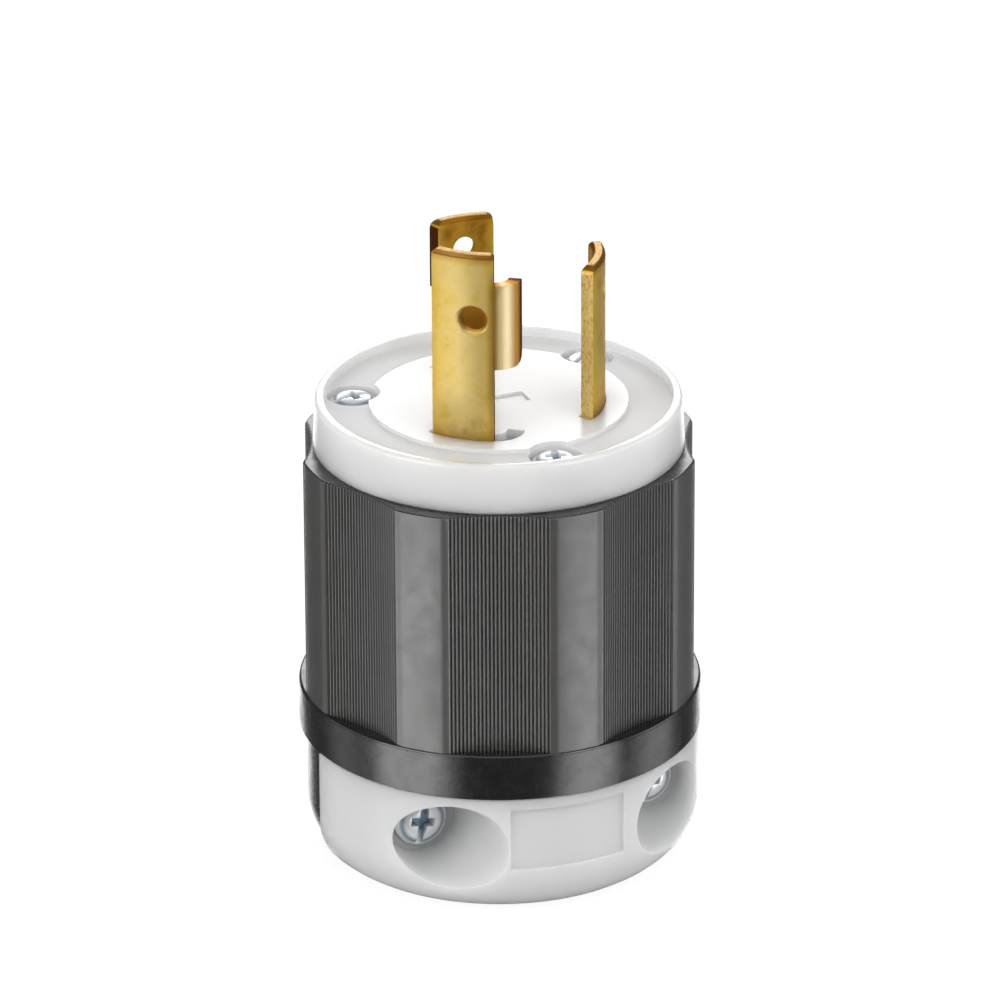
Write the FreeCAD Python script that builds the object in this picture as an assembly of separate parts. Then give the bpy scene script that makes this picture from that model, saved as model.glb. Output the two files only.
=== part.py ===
import FreeCAD, Part
import math
import os

# Locking power plug, standing on its cord end with the blades up.
# Millimetres. +Z runs along the axis towards the blades, z = 0 is the cord end,
# and -Y is the side of the removable half of the cord clamp.

V = FreeCAD.Vector
UP = V(0, 0, 1)
FRONT = V(0, -1, 0)
BACK = V(0, 1, 0)

# Heights of the main levels
base_height = 17.2
band_height = 6.0
grip_height = 31.8
face_thickness = 5.6
band_top = base_height + band_height
shell_top = band_top + grip_height
face_top = shell_top + face_thickness

# Named clearances
moulded_gap = 0.2
slip_gap = 0.1
thread_gap = 0.05
shadow_gap = 0.1
block_gap = 0.3

# How far a cutting tool runs past the surface that it opens
past = 1.0

# Outer shell: eight smooth lobes with eight ribbed hollow flutes between them
band_radius = 25.4
band_edge_chamfer = 0.4
lobe_inset = 0.25
lobe_radius = band_radius - lobe_inset
lobe_count = 8
lobe_angle = 16.2
flute_depth = 1.5
flute_floor_radius = lobe_radius - flute_depth
ribs_per_flute = 24
rib_height = 0.28
rib_side_margin = 0.3
shell_wall = 2.4
shell_bore_radius = flute_floor_radius - shell_wall
throat_height = 3.4
throat_slope = 7.0
throat_top = base_height + throat_height
bore_floor = throat_top + throat_slope

# Cord grip: passage, gripping ridges and the rounded cord end
cord_radius = 10.0
ridge_height = 1.0
ridge_width = 2.4
ridge_count = 3
first_ridge = 3.6
ridge_pitch = 4.9
base_round = 7.5
clamp_inset = 0.1
clamp_radius = band_radius - clamp_inset
rear_half_inset = 0.95
rear_half_radius = band_radius - rear_half_inset
split_offset = 1.3
split_gap = 0.4
clamp_face = -split_offset - split_gap / 2
rear_face = -split_offset + split_gap / 2

# Clamp screws, their scoops and their captive nuts
clamp_screw_inset = 5.4
clamp_screw_offset = cord_radius + clamp_screw_inset
clamp_screw_level = 10.2
clamp_wall = 8.3
clamp_seat = clamp_face - clamp_wall
clamp_head_radius = 3.25
clamp_head_height = 2.2
clamp_shank_radius = 2.0
clamp_screw_length = 19.0
clamp_screw_spin = 80.0
scoop_step_gap = 0.35
scoop_step_radius = clamp_head_radius + scoop_step_gap
scoop_step_depth = 1.0
scoop_shelf = 0.7
scoop_radius = scoop_step_radius + scoop_shelf
scoop_flare = 9.0
nut_across_flats = 7.0
nut_thickness = 3.0
label_recess_width = 15.2
label_recess_shift = -0.9
label_recess_low = 7.5
label_recess_height = 8.3
label_recess_depth = 0.5

# Face plate
face_inset = 1.9
face_foot_radius = lobe_radius - face_inset
face_draft = 0.3
face_rim_radius = face_foot_radius - face_draft
face_edge_round = 0.6
rim_lift = 0.7
rim_top = face_top + rim_lift
rim_width = 1.1
rim_inner_radius = face_rim_radius - rim_width
channel_width = 5.65
plateau_radius = rim_inner_radius - channel_width
channel_depth = 0.55
screw_angles = [30.0, 150.0, 270.0]
screw_inset = 2.95
screw_circle = shell_bore_radius - screw_inset
screw_pocket_gap = 0.45
screw_pocket_depth = 2.4
pad_left = -4.5
pad_right = 3.7
pad_low = -2.2
pad_high = 1.2
pad_depth = 0.3

# Assembly screws and the threaded inserts in the shell
assembly_head_radius = 2.95
assembly_head_height = 2.0
assembly_shank_radius = 1.9
assembly_screw_length = 26.0
assembly_seat = face_top - screw_pocket_depth
insert_radius = 2.8
insert_length = 8.0
boss_radius = 4.0
boss_overlap = 0.5
boss_rise = 2.0
boss_foot = throat_top + boss_rise

# Contact block
block_radius = shell_bore_radius - block_gap
block_height = 17.0
block_bottom = shell_top - block_height
window_floor = 3.0
window_height = 9.4
window_width = 10.4
window_low = block_bottom + window_floor
window_high = window_low + window_height
wire_hole_radius = 2.8
wire_hole_wall = 0.75
wire_hole_circle = block_radius - wire_hole_wall - wire_hole_radius

# Blades
blade_radius = 13.3
blade_thickness = 1.65
blade_seat_overlap = 0.4
blade_root = window_high - blade_seat_overlap
blade_middle = blade_radius - blade_thickness / 2
tip_bevel_depth = 0.3
tip_bevel_height = 0.75
slot_overrun = 0.4
ground_blade_span = [209.7, 245.3]
ground_blade_height = 24.4
ground_corner_round = 0.6
ground_hole_radius = 1.8
ground_hole_drop = 8.6
ground_hole_shift = 1.3
ground_hole_chamfer = 0.2
line_blade_spans = [[70.1, 107.4], [-51.4, -6.0]]
line_blade_height = 20.0
line_corner_round = 0.9
line_hole_drop = 4.3
line_hole_radius = 1.6
line_foot_height = 9.0
line_neck_cut = 1.5
hook_low = 9.35
hook_top_drop = 4.1
hook_bend_radius = 2.5
hook_turn = 80.0
hook_leg = 0.3
hook_corner_round = 1.2
hook_slot_gap = 0.3
hook_pocket_depth = 2.0

# Terminals: flat shank, pressure plate and radial screw
shank_width = 9.0
shank_face = 13.0
shank_neck_top = 0.6
plate_width = 8.0
plate_thickness = 1.3
terminal_rise = 4.6
terminal_level = window_low + terminal_rise
terminal_shank_radius = 1.9
terminal_head_radius = 3.2
terminal_head_height = 2.1
terminal_screw_length = 6.0
terminal_screw_spin = 30.0

# Screw heads and their drive recesses
head_round_share = 0.45
point_chamfer_share = 0.3
slot_width = 0.9
slot_depth = 0.8
cross_width = 0.85
cross_depth = 1.3
cross_share = 0.62


def polar(radius, angle, z=0.0):
    """Point at a radius and an angle in degrees about the axis."""
    turn = math.radians(angle)
    return V(radius * math.cos(turn), radius * math.sin(turn), z)


def cylinder(radius, low, high, centre=V(0, 0, 0)):
    """Upright cylinder between two levels."""
    return Part.makeCylinder(radius, high - low, V(centre.x, centre.y, low), UP)


def block(low, high):
    """Box between two opposite corners."""
    return Part.makeBox(high.x - low.x, high.y - low.y, high.z - low.z, low)


def revolved(points, start=0.0, turn=360.0):
    """Solid turned about the axis from corners given as radius and level."""
    corners = [V(radius, 0, z) for radius, z in points]
    outline = Part.makePolygon(corners + corners[:1])
    solid = Part.Face(outline).revolve(V(0, 0, 0), UP, turn)
    solid.rotate(V(0, 0, 0), UP, start)
    return solid


def ring_sector(inner, outer, start, turn, low, high):
    """Upright curved wall from a start angle, with square edges."""
    return revolved([(inner, low), (outer, low), (outer, high), (inner, high)], start, turn)


def sleeve(outer_radius, inner_radius, low, high):
    """Upright ring all the way round."""
    return ring_sector(inner_radius, outer_radius, 0.0, 360.0, low, high)


def placed(shape, place, axis, spin=0.0):
    """Shape built along +Z, spun about its own axis, then turned to an axis and moved."""
    turned = shape.copy()
    turn = FreeCAD.Rotation(UP, axis).multiply(FreeCAD.Rotation(UP, spin))
    turned.Placement = FreeCAD.Placement(place, turn)
    return turned


def circle_edges(solid, radius, level):
    """Round edges about the axis with a radius, at a level."""
    near = 0.01
    found = []
    for edge in solid.Edges:
        box = edge.BoundBox
        flat = abs(box.ZMin - level) < near and abs(box.ZMax - level) < near
        if flat and abs(box.XMax - radius) < near:
            found.append(edge)
    return found


def flute_points(angle):
    """Points across one ribbed hollow flute, from one lobe edge to the next."""
    half = 180.0 / lobe_count - lobe_angle / 2
    edge = polar(lobe_radius, half)
    sagitta = edge.x - flute_floor_radius
    hollow_radius = (edge.y ** 2 + sagitta ** 2) / (2 * sagitta)
    centre_x = flute_floor_radius + hollow_radius
    sweep = math.asin(edge.y / hollow_radius) - rib_side_margin / hollow_radius
    steps = 2 * ribs_per_flute
    points = [polar(lobe_radius, -half)]
    for step in range(steps + 1):
        lean = -sweep + 2 * sweep * step / steps
        reach = hollow_radius + rib_height * (step % 2)
        points.append(V(centre_x - reach * math.cos(lean), reach * math.sin(lean), 0))
    points.append(edge)
    turn = FreeCAD.Rotation(UP, angle)
    return [turn.multVec(point) for point in points]


def grip_prism(low, high):
    """Grip with its lobes and ribbed flutes between two levels."""
    pitch = 360.0 / lobe_count
    edges = []
    for index in range(lobe_count):
        middle = index * pitch
        lobe_start = polar(lobe_radius, middle - lobe_angle / 2)
        lobe_end = polar(lobe_radius, middle + lobe_angle / 2)
        edges.append(Part.Arc(lobe_start, polar(lobe_radius, middle), lobe_end).toShape())
        points = flute_points(middle + pitch / 2)
        edges += [Part.makeLine(a, b) for a, b in zip(points, points[1:])]
    prism = Part.Face(Part.Wire(edges)).extrude(V(0, 0, high - low))
    prism.translate(V(0, 0, low))
    return prism


def rounded_base(radius, height):
    """Disc-shaped cord end with one large rounded bottom edge."""
    disc = cylinder(radius, 0, height)
    return disc.makeFillet(base_round, circle_edges(disc, radius, 0))


def cord_ridges():
    """Rings with sloping flanks that bite on the cord."""
    crest = cord_radius - ridge_height
    half = ridge_width / 2
    rings = []
    for index in range(ridge_count):
        level = first_ridge + index * ridge_pitch
        rings.append(revolved([
            (cord_radius + past, level - half),
            (cord_radius, level - half),
            (crest, level),
            (cord_radius, level + half),
            (cord_radius + past, level + half),
        ]))
    return rings


def front_of_split():
    """Everything on the removable half's side of the split."""
    reach = 2 * band_radius
    return block(V(-reach, -reach, -reach), V(reach, clamp_face, reach))


def behind_split():
    """Everything on the shell's side of the split."""
    reach = 2 * band_radius
    return block(V(-reach, rear_face, -reach), V(reach, reach, reach))


def clamp_screw_places(depth):
    """Points on the two clamp screw axes at a depth along Y."""
    return [V(side * clamp_screw_offset, depth, clamp_screw_level) for side in (-1, 1)]


def drive_recess(head_radius, head_height):
    """Slot with a cross, cut down from the top of a head."""
    top = head_height + past
    reach = head_radius + past
    half = slot_width / 2
    slot = block(V(-reach, -half, head_height - slot_depth), V(reach, half, top))
    arm = head_radius * cross_share
    wide = cross_width / 2
    floor = head_height - cross_depth
    across = block(V(-arm, -wide, floor), V(arm, wide, top))
    along = block(V(-wide, -arm, floor), V(wide, arm, top))
    return slot.fuse([across, along])


def screw(head_radius, head_height, shank_radius, length):
    """Pan-headed screw with its seat at z = 0 and its shank below."""
    head = cylinder(head_radius, 0, head_height)
    crown = circle_edges(head, head_radius, head_height)
    head = head.makeFillet(head_height * head_round_share, crown)
    shaft = cylinder(shank_radius, -length, 0)
    point = circle_edges(shaft, shank_radius, -length)
    shaft = shaft.makeChamfer(shank_radius * point_chamfer_share, point)
    return head.fuse(shaft).removeSplitter().cut(drive_recess(head_radius, head_height))


def hex_prism(across_flats, low, high):
    """Upright hexagonal prism with two corners along X."""
    corner = across_flats / math.sqrt(3)
    points = [polar(corner, 60 * index, low) for index in range(7)]
    return Part.Face(Part.makePolygon(points)).extrude(V(0, 0, high - low))


def hook_strip(low, high, gap):
    """Bend and leg that lead on from the end of the ground blade."""
    half = blade_thickness / 2 + gap
    inner = hook_bend_radius - half
    outer = hook_bend_radius + half
    bend = ring_sector(inner, outer, 0, hook_turn, low, high)
    leg = block(V(inner, 0, low), V(outer, hook_leg + gap, high))
    leg.rotate(V(0, 0, 0), UP, hook_turn)
    strip = bend.fuse(leg)
    end_angle = ground_blade_span[1]
    strip.rotate(V(0, 0, 0), UP, end_angle)
    strip.translate(polar(blade_middle - hook_bend_radius, end_angle))
    return strip


def radial_outline(points, angle):
    """Cutting prism with an outline in width and level, run outwards at an angle."""
    corners = [V(0, width, z) for width, z in points]
    prism = Part.Face(Part.makePolygon(corners + corners[:1])).extrude(V(2 * blade_radius, 0, 0))
    prism.rotate(V(0, 0, 0), UP, angle)
    return prism


def corner_trim(width, level, side, rise, size):
    """Points that cut a rounded corner off a blade outline, as width and level."""
    steps = 4
    trim = [(width + side * past, level + rise * past)]
    trim.append((width - side * size, level + rise * past))
    for step in range(steps + 1):
        turn = math.radians(90.0 * step / steps)
        along = size * (1 - math.sin(turn))
        down = size * (1 - math.cos(turn))
        trim.append((width - side * along, level - rise * down))
    trim.append((width + side * past, level - rise * size))
    return trim


def shank(angle, gap):
    """Flat terminal end of a blade, with the neck that joins it to the arc."""
    half = shank_width / 2 + gap
    low = V(shank_face - blade_thickness - gap, -half, window_low)
    tab = block(low, V(shank_face + gap, half, blade_root + shank_neck_top))
    tab.rotate(V(0, 0, 0), UP, angle)
    return tab


def middle_angle(span):
    """Angle half way along a blade."""
    return (span[0] + span[1]) / 2


def half_width(span):
    """Half of a blade's width measured straight across."""
    return blade_radius * math.sin(math.radians((span[1] - span[0]) / 2))


def terminal_hole(angle, radius, inner, outer):
    """Radial hole at the level of the terminal screws."""
    return Part.makeCylinder(radius, outer - inner, polar(inner, angle, terminal_level), polar(1, angle))


def curved_blade(span, height):
    """Curved blade from its root to a tip that is bevelled on both faces."""
    top = face_top + height
    inner = blade_radius - blade_thickness
    shoulder = top - tip_bevel_height
    return revolved([
        (inner, blade_root),
        (blade_radius, blade_root),
        (blade_radius, shoulder),
        (blade_radius - tip_bevel_depth, top),
        (inner + tip_bevel_depth, top),
        (inner, shoulder),
    ], span[0], span[1] - span[0])


def finish_blade(blade, span):
    """Blade with its flat shank and the threaded hole of the terminal screw."""
    angle = middle_angle(span)
    joined = blade.fuse(shank(angle, 0)).removeSplitter()
    inner = shank_face - blade_thickness - past
    return joined.cut(terminal_hole(angle, terminal_shank_radius + thread_gap, inner, shank_face + past))


def ground_blade():
    """Tall blade with a detent hole and a hooked tab at its leading end."""
    end = ground_blade_span[1]
    angle = middle_angle(ground_blade_span)
    top = face_top + ground_blade_height
    blade = curved_blade(ground_blade_span, ground_blade_height)
    hook_foot = face_top + hook_low
    blade = blade.fuse(hook_strip(hook_foot, top - hook_top_drop, 0)).removeSplitter()
    side = half_width(ground_blade_span)
    turn = math.radians(hook_turn)
    outer_bend = hook_bend_radius + blade_thickness / 2
    hook_reach = outer_bend * math.sin(turn) + hook_leg * math.cos(turn)
    centre = polar(ground_hole_shift, angle + 90, top - ground_hole_drop)
    outward = polar(1, angle)
    rim = centre + outward * (blade_radius - ground_hole_chamfer)
    wide = ground_hole_radius + 2 * ground_hole_chamfer
    cuts = [
        radial_outline(corner_trim(-side, top, -1, 1, ground_corner_round), angle),
        radial_outline(corner_trim(side, top, 1, 1, ground_corner_round), angle),
        radial_outline(corner_trim(hook_reach, hook_foot, 1, -1, hook_corner_round), end),
        Part.makeCylinder(ground_hole_radius, 2 * blade_radius, centre, outward),
        Part.makeCone(ground_hole_radius, wide, 2 * ground_hole_chamfer, rim, outward),
    ]
    for tool in cuts:
        blade = blade.cut(tool)
    return finish_blade(blade, ground_blade_span)


def line_blade(span):
    """Blade with a detent hole and a wider locking foot at its leading end."""
    angle = middle_angle(span)
    top = face_top + line_blade_height
    blade = curved_blade(span, line_blade_height)
    side = half_width(span)
    neck_low = blade_root - past
    neck_top = top - line_foot_height
    hole_centre = V(0, 0, top - line_hole_drop)
    neck = [
        (side - line_neck_cut, neck_low),
        (side - line_neck_cut, neck_top),
        (side + past, neck_top),
        (side + past, neck_low),
    ]
    cuts = [
        radial_outline(neck, angle),
        radial_outline(corner_trim(side, top, 1, 1, line_corner_round), angle),
        radial_outline(corner_trim(-side, top, -1, 1, line_corner_round), angle),
        Part.makeCylinder(line_hole_radius, 2 * blade_radius, hole_centre, polar(1, angle)),
    ]
    for tool in cuts:
        blade = blade.cut(tool)
    return finish_blade(blade, span)


def blade_slot(span, low, high, start_overrun):
    """Room for a blade where it passes through a moulding."""
    lead = math.degrees((slip_gap + start_overrun) / blade_radius)
    trail = math.degrees(slip_gap / blade_radius)
    inner = blade_radius - blade_thickness - slip_gap
    turn = span[1] - span[0] + lead + trail
    return ring_sector(inner, blade_radius + slip_gap, span[0] - lead, turn, low, high)


def all_spans():
    """Spans of the ground blade and of the line blades."""
    return [ground_blade_span] + line_blade_spans


def face_plate():
    """White face with a raised rim, a sunk ring, screw pockets and blade slots."""
    floor = face_top - channel_depth
    disc = revolved([
        (0, shell_top),
        (face_foot_radius, shell_top),
        (face_rim_radius, rim_top),
        (rim_inner_radius, rim_top),
        (rim_inner_radius, floor),
        (plateau_radius, floor),
        (plateau_radius, face_top),
        (0, face_top),
    ])
    disc = disc.makeFillet(face_edge_round, circle_edges(disc, face_rim_radius, rim_top))
    above = face_top + past
    below = shell_top - past
    cuts = [block(V(pad_left, pad_low, face_top - pad_depth), V(pad_right, pad_high, above))]
    for angle in screw_angles:
        centre = polar(screw_circle, angle)
        cuts.append(cylinder(assembly_head_radius + screw_pocket_gap, assembly_seat, above, centre))
        cuts.append(cylinder(assembly_shank_radius + moulded_gap, below, face_top, centre))
    for span in all_spans():
        cuts.append(blade_slot(span, below, above, slot_overrun))
    cuts.append(hook_strip(below, above, hook_slot_gap))
    for tool in cuts:
        disc = disc.cut(tool)
    return disc


def contact_block():
    """Inner moulding that carries the blades, with a terminal window at each."""
    body = cylinder(block_radius, block_bottom, shell_top)
    above = shell_top + past
    below = block_bottom - past
    half = window_width / 2
    screw_tip = shank_face + plate_thickness - terminal_screw_length
    screw_room = terminal_shank_radius + moulded_gap
    cuts = [hook_strip(shell_top - hook_pocket_depth, above, hook_slot_gap)]
    for span in all_spans():
        angle = middle_angle(span)
        cuts.append(blade_slot(span, blade_root, above, slip_gap))
        cuts.append(shank(angle, slip_gap))
        window = block(V(shank_face, -half, window_low), V(block_radius + past, half, window_high))
        window.rotate(V(0, 0, 0), UP, angle)
        cuts.append(window)
        centre = polar(wire_hole_circle, angle)
        cuts.append(cylinder(wire_hole_radius, below, window_low + past, centre))
        cuts.append(terminal_hole(angle, screw_room, screw_tip - past, shank_face + past))
    for angle in screw_angles:
        cuts.append(cylinder(assembly_shank_radius + moulded_gap, below, above, polar(screw_circle, angle)))
    for tool in cuts:
        body = body.cut(tool)
    return body


def pressure_plate(angle):
    """Square plate that presses a wire on the shank."""
    half = plate_width / 2
    outer = shank_face + plate_thickness
    plate = block(V(shank_face, -half, terminal_level - half), V(outer, half, terminal_level + half))
    plate.rotate(V(0, 0, 0), UP, angle)
    return plate.cut(terminal_hole(angle, terminal_shank_radius + slip_gap, shank_face - past, outer + past))


def terminal_screw(angle):
    """Radial screw that draws the pressure plate on to the shank."""
    body = screw(terminal_head_radius, terminal_head_height, terminal_shank_radius, terminal_screw_length)
    seat = polar(shank_face + plate_thickness, angle, terminal_level)
    return placed(body, seat, polar(1, angle), terminal_screw_spin)


def assembly_screw(angle):
    """Long screw from the face through the contact block into the shell."""
    body = screw(assembly_head_radius, assembly_head_height, assembly_shank_radius, assembly_screw_length)
    return placed(body, polar(screw_circle, angle, assembly_seat), UP, angle)


def threaded_insert(angle):
    """Metal insert in a boss of the shell."""
    thread_radius = assembly_shank_radius + thread_gap
    insert = sleeve(insert_radius, thread_radius, block_bottom - insert_length, block_bottom)
    insert.translate(polar(screw_circle, angle))
    return insert


def shell_bore():
    """Cord passage that widens into the space for the contact block."""
    return revolved([
        (0, -past),
        (cord_radius, -past),
        (cord_radius, throat_top),
        (shell_bore_radius, bore_floor),
        (shell_bore_radius, shell_top + past),
        (0, shell_top + past),
    ])


def shell():
    """Black moulding: fluted grip, band, bore with bosses and the rear half of the cord clamp."""
    body = grip_prism(band_top - past, shell_top - shadow_gap)
    band = cylinder(band_radius, base_height, band_top)
    band = band.makeChamfer(band_edge_chamfer, circle_edges(band, band_radius, band_top))
    rear = rounded_base(rear_half_radius, base_height).common(behind_split())
    body = body.fuse([band, rear]).cut(shell_bore())
    limit = cylinder(shell_bore_radius + boss_overlap, boss_foot, block_bottom)
    centres = [polar(screw_circle, angle) for angle in screw_angles]
    bosses = [cylinder(boss_radius, boss_foot, block_bottom, centre) for centre in centres]
    body = body.fuse([boss.common(limit) for boss in bosses])
    insert_floor = block_bottom - insert_length - thread_gap
    screw_tip = assembly_seat - assembly_screw_length
    drill_low = min(insert_floor, screw_tip) - past
    for centre in centres:
        body = body.cut(cylinder(insert_radius + thread_gap, insert_floor, block_bottom + past, centre))
        body = body.cut(cylinder(assembly_shank_radius + moulded_gap, drill_low, block_bottom, centre))
    for ridge in cord_ridges():
        body = body.fuse(ridge.common(behind_split()))
    hole_radius = clamp_shank_radius + moulded_gap
    hole_depth = clamp_seat + clamp_screw_length + past - rear_face
    for place in clamp_screw_places(rear_face - past):
        pocket = hex_prism(nut_across_flats + 2 * slip_gap, 0, past + 2 * slip_gap + nut_thickness)
        body = body.cut(placed(pocket, place, BACK))
        body = body.cut(Part.makeCylinder(hole_radius, past + hole_depth, place, BACK))
    return body.removeSplitter()


def scoop(place):
    """Stepped and flared hollow around one clamp screw head."""
    step = Part.makeCylinder(scoop_step_radius, clamp_radius, place, FRONT)
    start = place + FRONT * scoop_step_depth
    depth = clamp_radius + clamp_seat
    mouth_radius = scoop_radius + depth * math.tan(math.radians(scoop_flare))
    return step.fuse(Part.makeCone(scoop_radius, mouth_radius, depth, start, FRONT))


def cord_clamp():
    """White removable half of the cord clamp."""
    body = rounded_base(clamp_radius, base_height - moulded_gap).common(front_of_split())
    body = body.cut(cylinder(cord_radius, -past, base_height + past))
    for ridge in cord_ridges():
        body = body.fuse(ridge.common(front_of_split()))
    hole_radius = clamp_shank_radius + moulded_gap
    for place in clamp_screw_places(clamp_face + past):
        body = body.cut(Part.makeCylinder(hole_radius, clamp_radius, place, FRONT))
    for place in clamp_screw_places(clamp_seat):
        body = body.cut(scoop(place))
    left = label_recess_shift - label_recess_width / 2
    right = label_recess_shift + label_recess_width / 2
    high = label_recess_low + label_recess_height
    outside = clamp_radius + past
    skin = sleeve(outside, clamp_radius - label_recess_depth, label_recess_low, high)
    window = block(V(left, -outside, label_recess_low), V(right, 0, high))
    return body.cut(skin.common(window)).removeSplitter()


def clamp_screw(place):
    """Screw that draws the two halves of the cord clamp together."""
    body = screw(clamp_head_radius, clamp_head_height, clamp_shank_radius, clamp_screw_length)
    return placed(body, place, FRONT, clamp_screw_spin)


def clamp_nut(place):
    """Captive nut in the rear half of the cord clamp."""
    body = hex_prism(nut_across_flats, 0, nut_thickness)
    hole = cylinder(clamp_shank_radius + thread_gap, -past, nut_thickness + past)
    return placed(body.cut(hole), place, BACK)


def write(name, shape):
    """One STEP file per piece."""
    solids = shape.Solids
    piece = solids[0] if len(solids) == 1 else shape
    piece.exportStep("parts/" + name + ".step")
    print(name, len(solids), round(piece.Volume, 1), piece.isValid())


def main():
    os.makedirs("parts", exist_ok=True)
    write("shell", shell())
    write("face_plate", face_plate())
    write("contact_block", contact_block())
    write("cord_clamp", cord_clamp())
    write("ground_blade", ground_blade())
    for index, span in enumerate(line_blade_spans, 1):
        write("line_blade_%d" % index, line_blade(span))
    for name, span in zip(["ground", "line_1", "line_2"], all_spans()):
        write("pressure_plate_" + name, pressure_plate(middle_angle(span)))
        write("terminal_screw_" + name, terminal_screw(middle_angle(span)))
    for index, angle in enumerate(screw_angles, 1):
        write("assembly_screw_%d" % index, assembly_screw(angle))
        write("threaded_insert_%d" % index, threaded_insert(angle))
    for index, place in enumerate(clamp_screw_places(clamp_seat), 1):
        write("clamp_screw_%d" % index, clamp_screw(place))
    for index, place in enumerate(clamp_screw_places(rear_face + slip_gap), 1):
        write("clamp_nut_%d" % index, clamp_nut(place))


main()
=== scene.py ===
import math

import bmesh
import bpy
from mathutils import Matrix, Quaternion, Vector


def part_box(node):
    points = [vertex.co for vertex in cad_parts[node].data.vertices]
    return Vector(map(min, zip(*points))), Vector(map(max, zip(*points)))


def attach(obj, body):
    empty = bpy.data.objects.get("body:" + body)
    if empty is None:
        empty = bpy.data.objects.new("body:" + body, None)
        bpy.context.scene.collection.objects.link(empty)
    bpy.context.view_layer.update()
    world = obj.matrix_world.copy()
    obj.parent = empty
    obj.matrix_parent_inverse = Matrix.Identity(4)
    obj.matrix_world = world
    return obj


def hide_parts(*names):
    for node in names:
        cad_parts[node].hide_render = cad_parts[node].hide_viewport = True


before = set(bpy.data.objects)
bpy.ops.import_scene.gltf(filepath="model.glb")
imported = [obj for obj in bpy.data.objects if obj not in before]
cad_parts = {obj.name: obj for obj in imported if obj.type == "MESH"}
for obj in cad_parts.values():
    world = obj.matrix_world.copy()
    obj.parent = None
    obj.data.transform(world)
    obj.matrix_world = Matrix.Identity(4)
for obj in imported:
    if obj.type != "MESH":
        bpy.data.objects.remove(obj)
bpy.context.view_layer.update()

# The photograph's view: the plug stands on a pale table, seen from a little above
# with a long lens, so upright lines stay upright and the discs are flat ovals.
MM = 0.001
camera_distance = 1000 * MM
camera_height_angle = math.radians(23.7)
camera_side_angle = math.radians(-22.5)
camera_roll = math.radians(-0.27)
aim_level = 46.76 * MM
pixels_per_mm = 7.983
photo_pixels = 1000

scene = bpy.context.scene
scene.view_settings.view_transform = "Standard"
lens = bpy.data.cameras.new("long_lens")
lens.sensor_width = 36
lens.lens = pixels_per_mm * camera_distance / MM * lens.sensor_width / photo_pixels
lens.shift_x = 0.00094
lens.clip_end = 20
camera = bpy.data.objects.new("camera", lens)
scene.collection.objects.link(camera)
view_line = Vector((math.sin(camera_side_angle), -math.cos(camera_side_angle), math.tan(camera_height_angle)))
camera.location = Vector((0, 0, aim_level)) + view_line.normalized() * camera_distance
facing = (-view_line).to_track_quat("-Z", "Y") @ Quaternion((0, 0, 1), camera_roll)
camera.rotation_euler = facing.to_euler()
scene.camera = camera


# The table and the room: matt white card under the plug, lit by soft boxes, with the
# brightest one behind it, which glances off every level surface. Glossy pieces see the
# card as lacquered, so that their upright walls mirror the soft boxes in it.
floor_size = 12.0
floor_drop = 0.02
glow_share = 0.8
glow_strength = 1.14
lacquer_roughness = 0.25
room_strength = 0.26
mirrored_room_strength = 0.13
lamp_aim_level = 35


def tone(code):
    """Linear colour of an sRGB hex value."""
    shares = [int(code[place:place + 2], 16) / 255 for place in (1, 3, 5)]
    linear = [share / 12.92 if share < 0.04045 else ((share + 0.055) / 1.055) ** 2.4 for share in shares]
    return (*linear, 1)


def add_node(tree, kind, settings=None, links=None):
    """Node with its settings, its socket values and its incoming links."""
    node = tree.nodes.new(kind)
    for name, value in (settings or {}).items():
        if isinstance(name, str) and hasattr(node, name):
            setattr(node, name, value)
        else:
            node.inputs[name].default_value = value
    for name, source in (links or {}).items():
        tree.links.new(source, node.inputs[name])
    return node


def start_material(name, settings):
    """New material: its node tree and its surface shader."""
    material = bpy.data.materials.new(name)
    material.use_nodes = True
    tree = material.node_tree
    surface = tree.nodes["Principled BSDF"]
    for socket, value in settings.items():
        surface.inputs[socket].default_value = value
    return material, tree, surface


table = bmesh.new()
bmesh.ops.create_grid(
    table, x_segments=2, y_segments=2, size=floor_size, matrix=Matrix.Translation((0, 0, -floor_drop * MM)),
)
table_mesh = bpy.data.meshes.new("table")
table.to_mesh(table_mesh)
table.free()
floor = bpy.data.objects.new("table", table_mesh)
scene.collection.objects.link(floor)

card, card_tree, card_surface = start_material("matt_white_card", {
    "Base Color": tone("#dcdcdc"), "Roughness": 0.9,
})
card_path = add_node(card_tree, "ShaderNodeLightPath")
card_seen = add_node(card_tree, "ShaderNodeMath", {"operation": "MULTIPLY", 1: glow_share}, {
    0: card_path.outputs["Is Camera Ray"],
})
card_glow = add_node(card_tree, "ShaderNodeEmission", {"Color": tone("#ffffff"), "Strength": glow_strength})
card_shine = add_node(card_tree, "ShaderNodeBsdfGlossy", {
    "Color": tone("#d8d8d8"), "Roughness": lacquer_roughness,
})
card_lacquer = add_node(card_tree, "ShaderNodeMixShader", links={
    0: card_path.outputs["Is Glossy Ray"],
    1: card_surface.outputs["BSDF"],
    2: card_shine.outputs["BSDF"],
})
card_mix = add_node(card_tree, "ShaderNodeMixShader", links={
    0: card_seen.outputs[0],
    1: card_lacquer.outputs["Shader"],
    2: card_glow.outputs["Emission"],
})
card_tree.links.new(card_mix.outputs["Shader"], card_tree.nodes["Material Output"].inputs["Surface"])
table_mesh.materials.append(card)

world = bpy.data.worlds.new("white_room")
world.use_nodes = True
scene.world = world
room = world.node_tree.nodes["Background"]
room.inputs["Color"].default_value = tone("#f2f4f7")
room_path = add_node(world.node_tree, "ShaderNodeLightPath")
room_level = add_node(
    world.node_tree, "ShaderNodeMapRange", {"To Min": room_strength, "To Max": mirrored_room_strength},
    {"Value": room_path.outputs["Is Glossy Ray"]},
)
world.node_tree.links.new(room_level.outputs["Result"], room.inputs["Strength"])


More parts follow.
